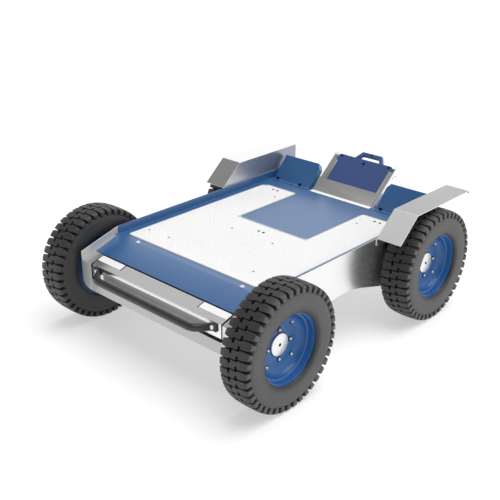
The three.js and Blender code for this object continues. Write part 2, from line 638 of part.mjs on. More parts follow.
// Angle bars beside the tray, fixed to the side plates above the motors.
function addRunners() {
  const [inner, outer, low, top] = [291, INNER_W - 0.4, 248, 271];
  const profile = [
    [inner, low], [inner + SHEET, low], [inner + SHEET, top - SHEET],
    [outer, top - SHEET], [outer, top], [inner, top],
  ];
  for (const [word, side] of SIDES) {
    const points = profile.map(([x, z]) => [side * x, z]);
    if (side < 0) points.reverse();
    addMesh(robot, `drawer_runner_${word}`, alongY(shapeOf(points), -515, -210), STEEL);
  }
}

// ---------------------------------------------------------------- assembly

for (const [end, axleY] of [['front', AXLE_Y[0]], ['rear', AXLE_Y[1]]]) {
  for (const [word, side] of SIDES) {
    addWheel(`${end}_${word}`, side, axleY);
    addDrive(`${end}_${word}`, side, axleY);
  }
}
addSidePlates();
addFrontFrame();
addRearWall();
addFloorPan();
addCrossMembers();
addDeckTray();
addAntiSlipSheet();
addFenders();
addElectronics();
addCovers();
addDockFace();
addDock();
addCheeks();
addBattery();
addDrawerFront();
addDrawerTray();
addPullBar();
addPullBarBolts();
addRunners();

// Centre the box of the whole machine on the origin.
robot.position.y = (CHEEK_TAIL_Y + AXLE_Y[0] - WHEEL_R) / -2;

export default robot;
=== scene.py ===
"""Looks of the four-wheel load robot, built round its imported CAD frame.

Metres, +Z up, nose at -Y, tail at +Y. Angles are radians unless a name or a comment says otherwise.
"""
import json
import math

import bmesh
import bpy
from mathutils import Euler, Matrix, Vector


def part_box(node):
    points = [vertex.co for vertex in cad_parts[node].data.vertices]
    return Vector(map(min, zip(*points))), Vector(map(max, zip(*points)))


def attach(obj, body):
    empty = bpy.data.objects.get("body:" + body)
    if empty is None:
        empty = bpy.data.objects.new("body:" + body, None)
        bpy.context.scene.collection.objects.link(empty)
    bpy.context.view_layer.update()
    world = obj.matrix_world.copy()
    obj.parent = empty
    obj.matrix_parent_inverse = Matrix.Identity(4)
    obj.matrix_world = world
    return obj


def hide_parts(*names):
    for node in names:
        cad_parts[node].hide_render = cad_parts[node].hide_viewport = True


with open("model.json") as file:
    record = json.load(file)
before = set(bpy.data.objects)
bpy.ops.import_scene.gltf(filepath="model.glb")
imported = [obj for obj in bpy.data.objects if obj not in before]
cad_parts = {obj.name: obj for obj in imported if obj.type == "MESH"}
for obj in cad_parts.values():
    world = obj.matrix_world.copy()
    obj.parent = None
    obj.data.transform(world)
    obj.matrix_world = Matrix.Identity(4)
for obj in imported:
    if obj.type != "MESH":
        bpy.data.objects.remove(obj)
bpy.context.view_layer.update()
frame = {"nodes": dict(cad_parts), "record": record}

RECORD = frame["record"]
BODY_OF = {node: body for body, nodes in RECORD["behaviour"]["bodies"].items() for node in nodes}
SLOT_OF = {part["node"]: part["material_slot"] for part in RECORD["subparts"]}
CORNERS = ("front_left", "front_right", "rear_left", "rear_right")


def middle(node):
    """The middle of a node's box."""
    low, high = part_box(node)
    return (Vector(low) + Vector(high)) / 2


# ------------------------------------------------------------------ shader nodes

NOISE_RANGE = (0.3, 0.7)        # nearly all of a noise texture's values lie in here


def component(tree, vector, axis):
    split = tree.nodes.new("ShaderNodeSeparateXYZ")
    tree.links.new(vector, split.inputs[0])
    return split.outputs[axis]


def distance_from_middle(tree, vector, axis):
    size = tree.nodes.new("ShaderNodeMath")
    size.operation = "ABSOLUTE"
    tree.links.new(component(tree, vector, axis), size.inputs[0])
    return size.outputs[0]


def remap(tree, value, low, high, to_low, to_high):
    node = tree.nodes.new("ShaderNodeMapRange")
    node.inputs["From Min"].default_value = low
    node.inputs["From Max"].default_value = high
    node.inputs["To Min"].default_value = to_low
    node.inputs["To Max"].default_value = to_high
    tree.links.new(value, node.inputs["Value"])
    return node.outputs["Result"]


def noise(tree, coordinates, scale, detail, stretch=(1, 1, 1)):
    mapping = tree.nodes.new("ShaderNodeMapping")
    mapping.inputs["Scale"].default_value = stretch
    tree.links.new(coordinates, mapping.inputs["Vector"])
    texture = tree.nodes.new("ShaderNodeTexNoise")
    texture.inputs["Scale"].default_value = scale
    texture.inputs["Detail"].default_value = detail
    tree.links.new(mapping.outputs["Vector"], texture.inputs["Vector"])
    return texture.outputs["Fac"]


def cloud(tree, coordinates, scale, detail):
    """Soft patches between 0 and 1."""
    return remap(tree, noise(tree, coordinates, scale, detail), *NOISE_RANGE, 0, 1)


def blend_colours(tree, factor, first, second):
    node = tree.nodes.new("ShaderNodeMix")
    node.data_type = "RGBA"
    tree.links.new(factor, node.inputs["Factor"])
    for socket, value in ((node.inputs["A"], first), (node.inputs["B"], second)):
        if isinstance(value, tuple):
            socket.default_value = (*value, 1)
        else:
            tree.links.new(value, socket)
    return node.outputs["Result"]


# ------------------------------------------------------------------ camera and light

CAMERA_AZIMUTH = math.radians(43.25)
CAMERA_ELEVATION = math.radians(24.18)
CAMERA_PLACE = (1.82459, -2.04075, 1.45678)
CAMERA_LENS_MM = 60.99
CAMERA_SENSOR_MM = 36

camera_data = bpy.data.cameras.new("camera")
camera_data.lens = CAMERA_LENS_MM
camera_data.sensor_width = CAMERA_SENSOR_MM
camera = bpy.data.objects.new("camera", camera_data)
camera.location = CAMERA_PLACE
camera.rotation_euler = Euler((math.pi / 2 - CAMERA_ELEVATION, 0, CAMERA_AZIMUTH))
bpy.context.collection.objects.link(camera)
bpy.context.scene.camera = camera
bpy.context.scene.view_settings.view_transform = "Standard"

KEY_STRENGTH = 2.3
KEY_ANGLE = math.radians(55)
KEY_TILT = (math.radians(-10), math.radians(12), 0)
# Brightness of the studio's walls and ceiling, by the sine of the height above the horizon.
SKY_STOPS = ((0.0, 1.0), (0.42, 1.0), (0.58, 0.55), (0.80, 0.46), (1.0, 0.50))
SKY_FRONT = 0.38                # share of that brightness in front of the nose
SKY_REAR = 1.12                 # and behind the tail
SKY_TURN = (-0.45, 0.35)        # directions along Y between which one share gives way to the other
HORIZON_BAND = (0.12, 0.28)     # heights between which the even horizon gives way to that difference

key = bpy.data.lights.new("key", "SUN")
key.energy = KEY_STRENGTH
key.angle = KEY_ANGLE
key_lamp = bpy.data.objects.new("key", key)
key_lamp.rotation_euler = KEY_TILT
bpy.context.collection.objects.link(key_lamp)

world = bpy.data.worlds.new("studio")
world.use_nodes = True
bpy.context.scene.world = world
sky = world.node_tree
background = sky.nodes["Background"]
direction = sky.nodes.new("ShaderNodeTexCoord").outputs["Generated"]
height = component(sky, direction, "Z")
ramp = sky.nodes.new("ShaderNodeValToRGB")
while len(ramp.color_ramp.elements) < len(SKY_STOPS):
    ramp.color_ramp.elements.new(0.5)
for element, (stop, level) in zip(ramp.color_ramp.elements, SKY_STOPS):
    element.position = stop
    element.color = (level, level, level, 1)
sky.links.new(height, ramp.inputs["Fac"])
sky.links.new(ramp.outputs["Color"], background.inputs["Color"])
share = remap(sky, component(sky, direction, "Y"), *SKY_TURN, SKY_FRONT, SKY_REAR)
strength = sky.nodes.new("ShaderNodeMix")
strength.inputs["A"].default_value = SKY_REAR
sky.links.new(remap(sky, height, *HORIZON_BAND, 0, 1), strength.inputs["Factor"])
sky.links.new(share, strength.inputs["B"])
sky.links.new(strength.outputs["Result"], background.inputs["Strength"])


# ------------------------------------------------------------------ materials

SIDEWALL_EDGE = (0.0495, 0.0522)    # distances from a wheel's mid-plane where tread turns into sidewall
INNER_SHADE_EDGE = (-0.01, 0.01)          # places along X where the painted shade on a tyre's inner side gives way to the outer side's tone
STUD_TONE_DEPTHS = (0.0009, 0.0002)     # depths under the studs' tops where the painted shade between the studs gives way to the white paint
BRUSHED = (1, 0.05, 1)
BRUSHED_GRAIN = 260
BRUSHED_RELIEF = 0.00001
FLOOR_GLOW = 0.48


def grey(level):
    return (level, level, level)


MATERIALS = {}


def new_material(name):
    """Adds a material to the table, and gives its node tree, its shader and its object's coordinates."""
    material = bpy.data.materials.new(name)
    material.use_nodes = True
    MATERIALS[name] = material
    tree = material.node_tree
    return tree, tree.nodes["Principled BSDF"], tree.nodes.new("ShaderNodeTexCoord").outputs["Object"]


def add_grain(tree, shader, fine, rough, relief):
    """A fine grain in the gloss and in the relief."""
    bump = tree.nodes.new("ShaderNodeBump")
    bump.inputs["Distance"].default_value = relief
    tree.links.new(fine, bump.inputs["Height"])
    tree.links.new(bump.outputs["Normal"], shader.inputs["Normal"])
    tree.links.new(remap(tree, fine, *NOISE_RANGE, *rough), shader.inputs["Roughness"])


def surface(name, tones, rough, metallic=0.0, grain=300, relief=0.00004, stretch=(1, 1, 1),
            coat=0.0, coat_rough=0.2, specular=0.5, drift=2.5):
    """A finish with two close tones that drift at a large scale, and a fine grain."""
    tree, shader, coordinates = new_material(name)
    patches = cloud(tree, coordinates, drift, 4)
    tree.links.new(blend_colours(tree, patches, *tones), shader.inputs["Base Color"])
    add_grain(tree, shader, noise(tree, coordinates, grain, 5, stretch), rough, relief)
    shader.inputs["Metallic"].default_value = metallic
    shader.inputs["Coat Weight"].default_value = coat
    shader.inputs["Coat Roughness"].default_value = coat_rough
    shader.inputs["Specular IOR Level"].default_value = specular


def brushed(name, tones, rough, metallic, grain=BRUSHED_GRAIN):
    surface(name, tones, rough, metallic, grain, BRUSHED_RELIEF, BRUSHED)


def painted_reflection_metal(name, axis, span, tones, rough, metallic):
    """Brushed sheet with a painted reflection: its tone shifts along one axis, from the middle outwards."""
    tree, shader, coordinates = new_material(name)
    shift = remap(tree, distance_from_middle(tree, coordinates, axis), *span, 0, 1)
    tree.links.new(blend_colours(tree, shift, *tones), shader.inputs["Base Color"])
    add_grain(tree, shader, noise(tree, coordinates, BRUSHED_GRAIN, 4, BRUSHED), rough, BRUSHED_RELIEF)
    shader.inputs["Metallic"].default_value = metallic


def edge_highlight(name, colour, highlight, metallic, rough):
    """The finish of a piece's rounded edges: a painted highlight, brighter still in noise patches."""
    tree, shader, coordinates = new_material(name)
    patches = remap(tree, noise(tree, coordinates, 45, 5), 0.38, 0.62, 0, 1)
    tree.links.new(blend_colours(tree, patches, colour, highlight), shader.inputs["Base Color"])
    tree.links.new(remap(tree, patches, 0, 1, *rough), shader.inputs["Roughness"])
    shader.inputs["Metallic"].default_value = metallic


def tyre_rubber():
    """Dark on the tread and greyer on the smooth outer sidewall; the inner sidewall, facing the body, is
    painted darker as painted shade.
    """
    tree, shader, coordinates = new_material("tyre_rubber")
    side = remap(tree, distance_from_middle(tree, coordinates, "X"), *SIDEWALL_EDGE, 0, 1)
    outer = remap(tree, component(tree, coordinates, "X"), *INNER_SHADE_EDGE, 0, 1)
    patches = cloud(tree, coordinates, 9, 4)
    tread = blend_colours(tree, patches, grey(0.017), grey(0.026))
    outer_wall = blend_colours(tree, patches, grey(0.062), (0.072, 0.072, 0.071))
    # painted shade: the inner sidewall takes a dark tone, the outer sidewall its own greyer one
    wall = blend_colours(tree, outer, grey(0.026), outer_wall)
    tree.links.new(blend_colours(tree, side, tread, wall), shader.inputs["Base Color"])
    add_grain(tree, shader, noise(tree, coordinates, 700, 4), (0.42, 0.58), 0.00010)
    shader.inputs["Specular IOR Level"].default_value = 0.55


def grip_sheet(top):
    """White on top of the studs, with painted shade in grey between them."""
    tree, shader, coordinates = new_material("white_grip")
    low, high = (top - depth for depth in STUD_TONE_DEPTHS)
    unshaded = remap(tree, component(tree, coordinates, "Z"), low, high, 0, 1)
    patches = cloud(tree, coordinates, 3, 5)
    # painted shade: grey in the grooves between the studs, below their tops
    stud_gap_shade = blend_colours(tree, patches, grey(0.34), grey(0.40))
    paint = blend_colours(tree, patches, grey(0.93), (0.96, 0.96, 0.955))
    tree.links.new(blend_colours(tree, unshaded, stud_gap_shade, paint), shader.inputs["Base Color"])
    add_grain(tree, shader, noise(tree, coordinates, 900, 4), (0.55, 0.7), 0.00006)


BLUE = ((0.012, 0.094, 0.262), (0.016, 0.102, 0.280))
RIM = ((0.010, 0.096, 0.300), (0.014, 0.106, 0.325))
VIOLET = ((0.030, 0.068, 0.205), (0.036, 0.074, 0.222))
BLACK = ((0.014, 0.014, 0.015), (0.022, 0.022, 0.023))
PLASTIC = ((0.016, 0.016, 0.018), (0.024, 0.024, 0.026))
SCREW_AND_SHADE_BLACK = ((0.008, 0.008, 0.010), (0.012, 0.012, 0.014))
SHADED_MATTE = ((0.56, 0.56, 0.57), (0.62, 0.62, 0.63))

tyre_rubber()
grip_sheet(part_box("anti_slip_sheet")[1][2])
surface("wheel_blue", RIM, (0.34, 0.44), 0.0, 420, 0.00002, coat=0.2, specular=0.4, drift=6)
surface("blue_paint", BLUE, (0.34, 0.42), 0.0, 600, coat=1.0, coat_rough=0.28, specular=0.45)
surface("battery_blue", VIOLET, (0.42, 0.54), 0.0, 800, 0.00008)
surface("black_plastic", PLASTIC, (0.42, 0.56), 0.0, 900, 0.00008)
surface("black_paint", BLACK, (0.34, 0.44), 0.0, 800, 0.00005, coat=0.2, coat_rough=0.25)
# near black for dark screws, and for painted shade: shadows under the wheel bolts and round the hub caps, and
# shade in the caps' holes and the flange slits
surface("black_screw_and_painted_shade", SCREW_AND_SHADE_BLACK, (0.8, 0.9), 0.0, 300, 0.0, specular=0.1)
surface("cap_metal", (grey(0.90), grey(0.93)), (0.26, 0.30), 0.6, 90, 0.0)
surface("floor", (grey(0.54), grey(0.55)), (0.9, 1.0), 0.0, 40, 0.0, specular=0.0)
brushed("silver_sheet", (grey(0.86), grey(0.89)), (0.20, 0.24), 0.95)
# a darker copy of the silver sheet, used as painted shade on the front frame's up faces and the left guard's
# sloping faces
brushed("silver_mid", (grey(0.54), grey(0.58)), (0.30, 0.36), 0.9)
# painted shade: a darker, rougher copy of the silver for the drawer's recess and the left side plate's inner
# face
brushed("silver_matte_painted_shade", SHADED_MATTE, (0.45, 0.55), 0.6)
brushed("steel", (grey(0.49), grey(0.53)), (0.34, 0.42), 0.85, 320)
# also a painted highlight on the dock face plate's faces that point up
brushed("bright_fold", (grey(0.88), grey(0.93)), (0.40, 0.50), 0.1)
# painted shade: darker copies of the guard's silver for its faces that point up and its sloping faces
brushed("guard_top_painted_shade", (grey(0.40), grey(0.44)), (0.44, 0.52), 0.3)
brushed("guard_slope_painted_shade", (grey(0.64), grey(0.68)), (0.44, 0.52), 0.3)
# painted reflection: the left guard's inner wall darkens and turns bluish towards its front and rear ends
painted_reflection_metal("guard_wall_painted_reflection", "Y", (0.16, 0.46), (grey(0.66), (0.34, 0.36, 0.42)), (0.28, 0.34), 0.8)
# painted reflection: the front frame's nose faces are darker in the middle and lighter towards the sides
painted_reflection_metal("nose_sheet_painted_reflection", "X", (0.302, 0.314), (grey(0.52), (0.80, 0.81, 0.82)), (0.34, 0.42), 0.7)
# The floor is lit from below too, as on a photographer's table, so that shadows stay faint.
floor_shader = MATERIALS["floor"].node_tree.nodes["Principled BSDF"]
floor_shader.inputs["Emission Color"].default_value = (1, 1, 1, 1)
floor_shader.inputs["Emission Strength"].default_value = FLOOR_GLOW

# A finish's rounded edges, as a painted highlight: colour, brighter colour in patches, how metallic, and
# roughness from the plain edge to the patches.
EDGE_LOOKS = {
    "wheel_blue": ((0.05, 0.15, 0.40), (0.16, 0.27, 0.50), 0.0, (0.35, 0.45)),
    "blue_paint": ((0.030, 0.11, 0.30), (0.10, 0.20, 0.42), 0.0, (0.35, 0.45)),
    "battery_blue": ((0.030, 0.10, 0.27), (0.06, 0.15, 0.36), 0.0, (0.4, 0.5)),
    "cap_metal": (grey(0.75), grey(0.95), 0.8, (0.2, 0.3)),
    "silver_sheet": ((0.86, 0.86, 0.87), grey(0.95), 0.3, (0.4, 0.5)),
    "silver_mid": (grey(0.90), grey(0.97), 0.4, (0.4, 0.5)),
    "steel": ((0.62, 0.62, 0.60), (0.80, 0.80, 0.78), 0.4, (0.4, 0.5)),
    "black_plastic": (grey(0.03), grey(0.07), 0.0, (0.4, 0.5)),
    "black_paint": (grey(0.03), grey(0.09), 0.0, (0.35, 0.45)),
}
for finish, look in EDGE_LOOKS.items():
    edge_highlight(f"{finish}_edge", *look)


# ------------------------------------------------------------------ mesh helpers

class Solid:
    """Gathers the vertices and faces of one piece."""

    def __init__(self):
        self.points = []
        self.faces = []

    def add(self, points, faces):
        base = len(self.points)
        self.points += [tuple(p) for p in points]
        self.faces += [tuple(base + i for i in face) for face in faces]
        return self


def turned(profile, segments, radius_at=None):
    """A body turned about X. Its profile of (radius, x) has both ends on the axis, or closes on itself."""
    open_ends = profile[0][0] == 0 and profile[-1][0] == 0
    points, faces, rings = [], [], []
    for radius, x in profile:
        if radius == 0:
            rings.append([len(points)])
            points.append((x, 0, 0))
            continue
        rings.append(list(range(len(points), len(points) + segments)))
        for k in range(segments):
            angle = 2 * math.pi * k / segments
            r = radius_at(radius, angle) if radius_at else radius
            points.append((x, r * math.cos(angle), r * math.sin(angle)))
    pairs = list(zip(rings, rings[1:]))
    if not open_ends:
        pairs.append((rings[-1], rings[0]))
    for a, b in pairs:
        for k in range(segments):
            n = (k + 1) % segments
            corner = [a[k % len(a)], a[n % len(a)], b[n % len(b)], b[k % len(b)]]
            face = list(dict.fromkeys(corner))
            if len(face) > 2:
                faces.append(face)
    return points, faces


def moved(shape, place, normal):
    """The shape, with its X axis turned to the normal and its origin at the place."""
    turn = Vector((1, 0, 0)).rotation_difference(Vector(normal))
    return [tuple(turn @ Vector(p) + Vector(place)) for p in shape[0]], shape[1]


def prism_faces(count):
    """Faces of a body between two outlines of so many points, the lower one first."""
    sides = [(i, (i + 1) % count, count + (i + 1) % count, count + i) for i in range(count)]
    return [tuple(reversed(range(count))), tuple(range(count, 2 * count)), *sides]


def prism(outline, low, high):
    """An outline in (X, Y), between two heights."""
    points = [(x, y, z) for z in (low, high) for x, y in outline]
    return points, prism_faces(len(outline))


def rounded(corners, radii, steps=8):
    """An outline whose corners are rounded by arcs."""
    outline = []
    count = len(corners)
    for i, radius in enumerate(radii):
        here = Vector(corners[i])
        back = (Vector(corners[i - 1]) - here).normalized()
        ahead = (Vector(corners[(i + 1) % count]) - here).normalized()
        half = back.angle(ahead) / 2
        reach = radius / math.tan(half)
        start, end = here + back * reach, here + ahead * reach
        centre = here + (back + ahead).normalized() * (radius / math.sin(half))
        a0 = math.atan2(start.y - centre.y, start.x - centre.x)
        a1 = math.atan2(end.y - centre.y, end.x - centre.x)
        turn = (a1 - a0 + math.pi) % (2 * math.pi) - math.pi
        for k in range(steps + 1):
            a = a0 + turn * k / steps
            outline.append((centre.x + radius * math.cos(a), centre.y + radius * math.sin(a)))
    return outline


SHARP_ANGLE = 32                # degrees
FLAT_ANGLE = math.radians(0.8)  # triangles closer to one plane than this are one face


def set_in(name, mesh, finish, body, stands_for=(), bevel=0.0, segments=2, sharp=SHARP_ANGLE):
    """Links a piece to its body and slot, smooths it, and rounds its sharp edges."""
    mesh.materials.clear()
    mesh.materials.append(MATERIALS[finish])
    # the faces that the bevel makes take the finish's painted edge highlight
    if bevel and finish in EDGE_LOOKS:
        mesh.materials.append(MATERIALS[f"{finish}_edge"])
    mesh.shade_smooth()
    mesh.set_sharp_from_angle(angle=math.radians(sharp))
    piece = bpy.data.objects.new(name, mesh)
    bpy.context.collection.objects.link(piece)
    if bevel:
        modifier = piece.modifiers.new("rounded_edges", "BEVEL")
        modifier.width = bevel
        modifier.segments = segments
        modifier.limit_method = "ANGLE"
        modifier.angle_limit = math.radians(sharp)
        modifier.harden_normals = True
        modifier.material = len(mesh.materials) - 1
    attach(piece, body)
    if stands_for:
        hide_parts(*stands_for)
    return piece


def make(name, solid, finish, body, stands_for=(), bevel=0.0, sharp=SHARP_ANGLE):
    """A piece made from a Solid. Its slot is the one named like its finish."""
    mesh = bpy.data.meshes.new(name)
    mesh.from_pydata(solid.points, [], solid.faces)
    build = bmesh.new()
    build.from_mesh(mesh)
    bmesh.ops.recalc_face_normals(build, faces=build.faces)
    build.to_mesh(mesh)
    build.free()
    return set_in(name, mesh, finish, body, stands_for, bevel, sharp=sharp)


def rounded_copy(node, bevel, finish=None, segments=2, patches=()):
    """A CAD piece with its triangles merged into whole faces and its edges rounded.

    Each patch is a finish and a test of a face's centre and normal that chooses the faces it covers.
    """
    mesh = frame["nodes"][node].data.copy()
    build = bmesh.new()
    build.from_mesh(mesh)
    bmesh.ops.remove_doubles(build, verts=build.verts, dist=1e-6)
    bmesh.ops.dissolve_limit(build, angle_limit=FLAT_ANGLE, verts=build.verts, edges=build.edges)
    bmesh.ops.recalc_face_normals(build, faces=build.faces)
    build.to_mesh(mesh)
    build.free()
    slot = SLOT_OF[node]
    piece = set_in(f"{node}_finished", mesh, finish or slot, BODY_OF[node], (node,), bevel, segments)
    for patch, covers in patches:
        mesh.materials.append(MATERIALS[patch])
        for polygon in mesh.polygons:
            if covers(polygon.center, polygon.normal):
                polygon.material_index = len(mesh.materials) - 1
    return piece


HEX_SOCKET = 0.45               # socket size as a share of a screw head's radius
SCREW_SEGMENTS = 24


def hexagon(radius, angle):
    """How far a hexagon's edge is from its middle in one direction."""
    return radius * math.cos(math.pi / 6) / math.cos(angle % (math.pi / 3) - math.pi / 6)


def screw_head(radius, height):
    """A domed head with a hexagon socket, standing on X = 0."""
    socket = HEX_SOCKET * radius
    profile = [
        (0, 0.35 * height), (socket, 0.35 * height), (socket, 0.96 * height), (0.62 * radius, height),
        (0.86 * radius, 0.82 * height), (radius, 0.42 * height), (radius, 0), (0, 0),
    ]
    return turned(profile, SCREW_SEGMENTS, lambda r, a: hexagon(r, a) if r == socket else r)


def round_plate(radius, height, segments=28):
    """A disc with a chamfered rim, standing on X = 0."""
    profile = [(0, 0), (radius, 0), (radius, 0.7 * height), (0.93 * radius, height), (0, height)]
    return turned(profile, segments)


# ------------------------------------------------------------------ wheels

LUGS = 42
PITCH = 2 * math.pi / LUGS
TREAD_DEPTH = 0.0115
CARCASS_SEGMENTS = 152
# One side of the tyre's section, as distances from the axle and from the wheel's mid-plane.
CARCASS_SIDE = [
    (0.1095, 0.0240), (0.1090, 0.0345), (0.1185, 0.0352), (0.1186, 0.0392), (0.1140, 0.0400),
    (0.1134, 0.0425), (0.1146, 0.0455), (0.1180, 0.0485), (0.1225, 0.0503), (0.1280, 0.0512),
    (0.1330, 0.0518), (0.1480, 0.0526), (0.1620, 0.0528), (0.1730, 0.0522), (0.1772, 0.0500),
    (0.1806, 0.0455), (0.1840, 0.0390), (0.1865, 0.0300), (0.1878, 0.0150),
]
# Stations along a shoulder lug: radius and offset of its outer face, radius and offset of its root,
# and its share of the pitch.
LUG_STATIONS = [
    (0.1765, 0.0528, 0.1750, 0.0490, 0.48),
    (0.1860, 0.0536, 0.1780, 0.0460, 0.52),
    (0.1935, 0.0530, 0.1800, 0.0430, 0.58),
    (0.1962, 0.0490, 0.1820, 0.0400, 0.72),
    (0.1984, 0.0400, 0.1840, 0.0360, 0.84),
    (0.1994, 0.0300, 0.1858, 0.0300, 0.87),
    (0.1998, 0.0172, 0.1865, 0.0172, 0.87),
]
LUG_SLANT = 0.12      # how far, in pitches, a lug's inner end is turned from its shoulder
RIB_HALF = 0.0088     # half width of the middle rib
ARM_END = 0.0178      # how far the rib's arms reach into the lugs
ARM_PAST = 0.02       # how far each arm reaches past the middle of its rib block, in pitches
RIB_SHARE = 0.90      # length of a rib block, in pitches
ROOT_FLARE = 0.05     # how much wider a lug is at its root, in pitches
RIB_SINK = 0.001      # how much deeper than the tread a rib block's foot stands
RIB_MARGIN = 0.0002   # how far a rib block's top stays inside the tyre's true radius
LUG_BEVEL = 0.0009


def lug(side, turn):
    """A shoulder lug as a chain of stations with an outer and a root edge each."""
    points, faces = [], []
    for i, (top_r, top_x, root_r, root_x, share) in enumerate(LUG_STATIONS):
        shift = side * LUG_SLANT * PITCH * (1 - top_x / LUG_STATIONS[0][1])
        for radius, x, flare in ((top_r, top_x, 0), (root_r, root_x, ROOT_FLARE)):
            for edge in (-1, 1):
                angle = turn + shift + edge * (share + flare) * PITCH / 2
                points.append((side * x, radius * math.cos(angle), radius * math.sin(angle)))
        if i:
            a, b = 4 * (i - 1), 4 * i
            faces += [(a, a + 1, b + 1, b), (a + 2, b + 2, b + 3, a + 3),
                      (a, b, b + 2, a + 2), (a + 1, a + 3, b + 3, b + 1)]
    last = 4 * (len(LUG_STATIONS) - 1)
    faces += [(0, 2, 3, 1), (last, last + 1, last + 3, last + 2)]
    return points, faces


def centre_block(turn, radius):
    """A block of the middle rib, with an arm on each side that joins it to a shoulder lug."""
    half = RIB_SHARE / 2
    outline = [
        (-RIB_HALF, -half), (RIB_HALF, -half), (ARM_END, -half), (ARM_END, ARM_PAST), (RIB_HALF, ARM_PAST),
        (RIB_HALF, half), (-RIB_HALF, half), (-ARM_END, half), (-ARM_END, -ARM_PAST), (-RIB_HALF, -ARM_PAST),
    ]
    points = []
    for r in (radius - TREAD_DEPTH - RIB_SINK, radius):
        for x, part in outline:
            angle = turn + part * PITCH
            points.append((x, r * math.cos(angle), r * math.sin(angle)))
    return points, prism_faces(len(outline))


def tyre_mesh(radius):
    """A tyre round X: tread blocks with bevelled edges, standing in a smooth carcass."""
    tread = Solid()
    for k in range(LUGS):
        tread.add(*lug(1, k * PITCH))
        tread.add(*lug(-1, (k + 0.5) * PITCH))
        tread.add(*centre_block((k + 0.25) * PITCH, radius - RIB_MARGIN))
    mesh = bpy.data.meshes.new("tyre")
    mesh.from_pydata(tread.points, [], tread.faces)
    build = bmesh.new()
    build.from_mesh(mesh)
    bmesh.ops.recalc_face_normals(build, faces=build.faces)
    sharp = [edge for edge in build.edges if edge.calc_face_angle(0) > math.radians(SHARP_ANGLE)]
    bmesh.ops.bevel(build, geom=sharp, offset=LUG_BEVEL, offset_type="OFFSET", segments=1, affect="EDGES",
                    profile=0.5, clamp_overlap=True)
    section = CARCASS_SIDE + [(r, -x) for r, x in reversed(CARCASS_SIDE)]
    points, faces = turned(section, CARCASS_SEGMENTS)
    carcass = bpy.data.meshes.new("carcass")
    carcass.from_pydata(points, [], faces)
    build.from_mesh(carcass)
    bmesh.ops.recalc_face_normals(build, faces=build.faces)
    build.to_mesh(mesh)
    build.free()
    bpy.data.meshes.remove(carcass)
    return mesh


RIM_SEGMENTS = 96
DISC_FACE = -0.0035     # front of the wheel disc, from the wheel's mid-plane
RIM_SECTION = [
    (0.1170, 0.0388), (0.1146, 0.0390), (0.1136, 0.0384), (0.1131, 0.0370), (0.1124, 0.0320),
    (0.1104, 0.0270), (0.1068, 0.0228), (0.1024, 0.0203), (0.1006, 0.0199), (0.0998, 0.0196),
    (0.0992, 0.0188), (0.0985, 0.0176), (0.0984, -0.0180), (0.0990, -0.0220), (0.1085, -0.0270),
    (0.1120, -0.0320), (0.1133, -0.0388), (0.1170, -0.0388), (0.1170, -0.0360), (0.1080, -0.0350),
    (0.1030, -0.0220), (0.1030, 0.0150), (0.1080, 0.0350), (0.1170, 0.0360),
]
DISC_SECTION = [
    (0.0140, DISC_FACE), (0.0360, DISC_FACE), (0.0370, DISC_FACE - 0.0004), (0.0395, DISC_FACE - 0.0004),
    (0.0405, DISC_FACE), (0.0600, DISC_FACE), (0.0700, DISC_FACE + 0.0005), (0.0780, DISC_FACE + 0.0018),
    (0.0845, DISC_FACE + 0.0042), (0.0895, DISC_FACE + 0.0078), (0.0935, DISC_FACE + 0.0125),
    (0.0962, DISC_FACE + 0.0175), (0.0980, DISC_FACE + 0.0222),
    (0.0981, -0.0075), (0.0140, -0.0075),
]
INNER_BOLT_CIRCLE = 0.049
OUTER_BOLT_CIRCLE = 0.077
CAP_R = 0.0355
CAP_FACE = DISC_FACE + 0.0047
HUB_CAP_SECTION = [
    (0, CAP_FACE - 0.0038), (0.0042, CAP_FACE - 0.0038), (0.0046, CAP_FACE - 0.0006), (0.0054, CAP_FACE),
    (CAP_R - 0.0014, CAP_FACE), (CAP_R - 0.0004, CAP_FACE - 0.0004), (CAP_R, CAP_FACE - 0.0012),
    (CAP_R, DISC_FACE + 0.0003), (0, DISC_FACE + 0.0003),
]


CAP_SEGMENTS = 64
PRESSED_ANGLE = 50              # degrees, below which a pressed or bent surface is smooth
BOLT_HEAD = (0.0047, 0.0058)    # radius and height
# painted shadow: a dark disc under each wheel bolt's head, as radius and height
BOLT_SHADOW = (0.0082, 0.0012)
# painted shade in the cap's middle hole, and painted shadow round the cap, each as radius and height
CAP_HOLE_SHADE = (0.0052, 0.0004)
CAP_SIDE_SHADOW = (CAP_R + 0.0018, 0.0004)
NUDGE = 0.0001                  # distance between a small piece's foot and the face it stands on


def place_on_wheel(piece, centre, side):
    """Puts a piece in its wheel. A left wheel is the right one turned half round."""
    piece.location = centre
    if side < 0:
        piece.rotation_euler = (0, 0, math.pi)


def on_bolt_circles(shape):
    """The shape at each of the eight screws in the wheel disc: four round the hub and four further out."""
    solid = Solid()
    for k in range(8):
        angle = k * math.pi / 4
        circle = OUTER_BOLT_CIRCLE if k % 2 else INNER_BOLT_CIRCLE
        place = (DISC_FACE + NUDGE, circle * math.cos(angle), circle * math.sin(angle))
        solid.add(*moved(shape, place, (1, 0, 0)))
    return solid


def hub_painted_shade():
    """Painted shade: a dark disc in the screw hole in the middle of the cap, and a dark ring round the cap as
    the painted shadow of its side.
    """
    solid = Solid().add(*moved(round_plate(*CAP_HOLE_SHADE), (CAP_FACE - NUDGE, 0, 0), (1, 0, 0)))
    return solid.add(*moved(round_plate(*CAP_SIDE_SHADOW, CAP_SEGMENTS), (DISC_FACE - NUDGE, 0, 0), (1, 0, 0)))


